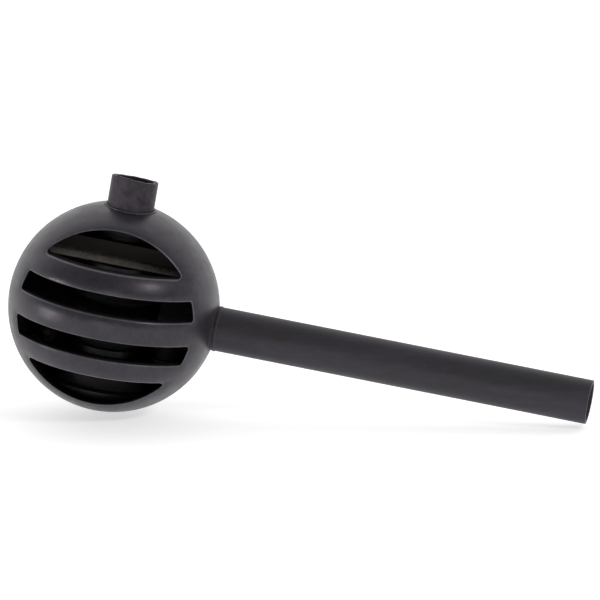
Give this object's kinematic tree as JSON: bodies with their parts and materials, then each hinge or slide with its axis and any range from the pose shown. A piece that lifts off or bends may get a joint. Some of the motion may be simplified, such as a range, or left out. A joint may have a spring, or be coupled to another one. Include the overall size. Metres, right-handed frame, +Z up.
{
  "type": "dust blower",
  "caption": "Hand-held dust blower for watch work: a barred hollow ball with a spring-loaded hollow plunger neck, an inner bellows pump and a long straight nozzle tube.",
  "frame": {"origin": "on the bench, under the middle of the whole blower as it lies on its ball and on the end of its tube", "axes": "+Z up from the bench; +X from the ball towards the tube's open end, the tube sloping down by 9.7 degrees; the window faces -Y and the neck leans 9.7 degrees from +Z towards +X"},
  "size_m": [0.167, 0.06, 0.0686],
  "materials": {
    "ball_plastic": "satin moulded black",
    "bush_plastic": "satin",
    "neck_plastic": "satin",
    "plate_plastic": "matte, dusty",
    "inner_plastic": "matte",
    "tube_plastic": "satin",
    "screw_steel": "blackened",
    "bright_steel": "bright",
    "brass": "turned",
    "black_brass": "blackened",
    "bellows_rubber": "matte",
    "valve_rubber": "matte",
    "seal_rubber": "matte"
  },
  "bodies": {
    "ball": {"front_shell": "ball_plastic", "rear_cover": "ball_plastic", "cover_screws": "screw_steel", "guide_collar": "bush_plastic", "bellows": "bellows_rubber", "return_spring": "bright_steel", "bellows_lower_clamp": "screw_steel", "base_block": "inner_plastic", "channel_plug": "brass", "base_gasket": "seal_rubber", "ballast_weight": "black_brass", "base_screw": "screw_steel", "riser_gasket": "seal_rubber", "outlet_elbow": "inner_plastic", "valve_seat": "brass", "ball_stop_pin": "bright_steel", "tube_seal": "seal_rubber", "socket_collar": "bush_plastic"},
    "plunger": {"plunger_tube": "neck_plastic", "pressure_plate": "plate_plastic", "plate_nut": "brass", "intake_valve": "valve_rubber", "bellows_upper_clamp": "screw_steel"},
    "valve_ball": {"check_ball": "bright_steel"},
    "nozzle": {"nozzle_tube": "tube_plastic"}
  },
  "joints": [
    {"name": "plunger_press", "type": "slide", "parent": "ball", "child": "plunger", "axis": [-0.1684, 0, -0.9857], "range_m": [0, 0.0064], "stiffness_N_per_m": 400, "springref_m": -0.003, "deforming": ["bellows", "return_spring"]},
    {"name": "valve_ball_lift", "type": "slide", "parent": "ball", "child": "valve_ball", "axis": [0.1684, 0, 0.9857], "range_m": [0, 0.0022]},
    {"name": "nozzle_pull", "type": "slide", "parent": "ball", "child": "nozzle", "axis": [0.9857, 0, -0.1684], "range_m": [0, 0.006]}
  ]
}
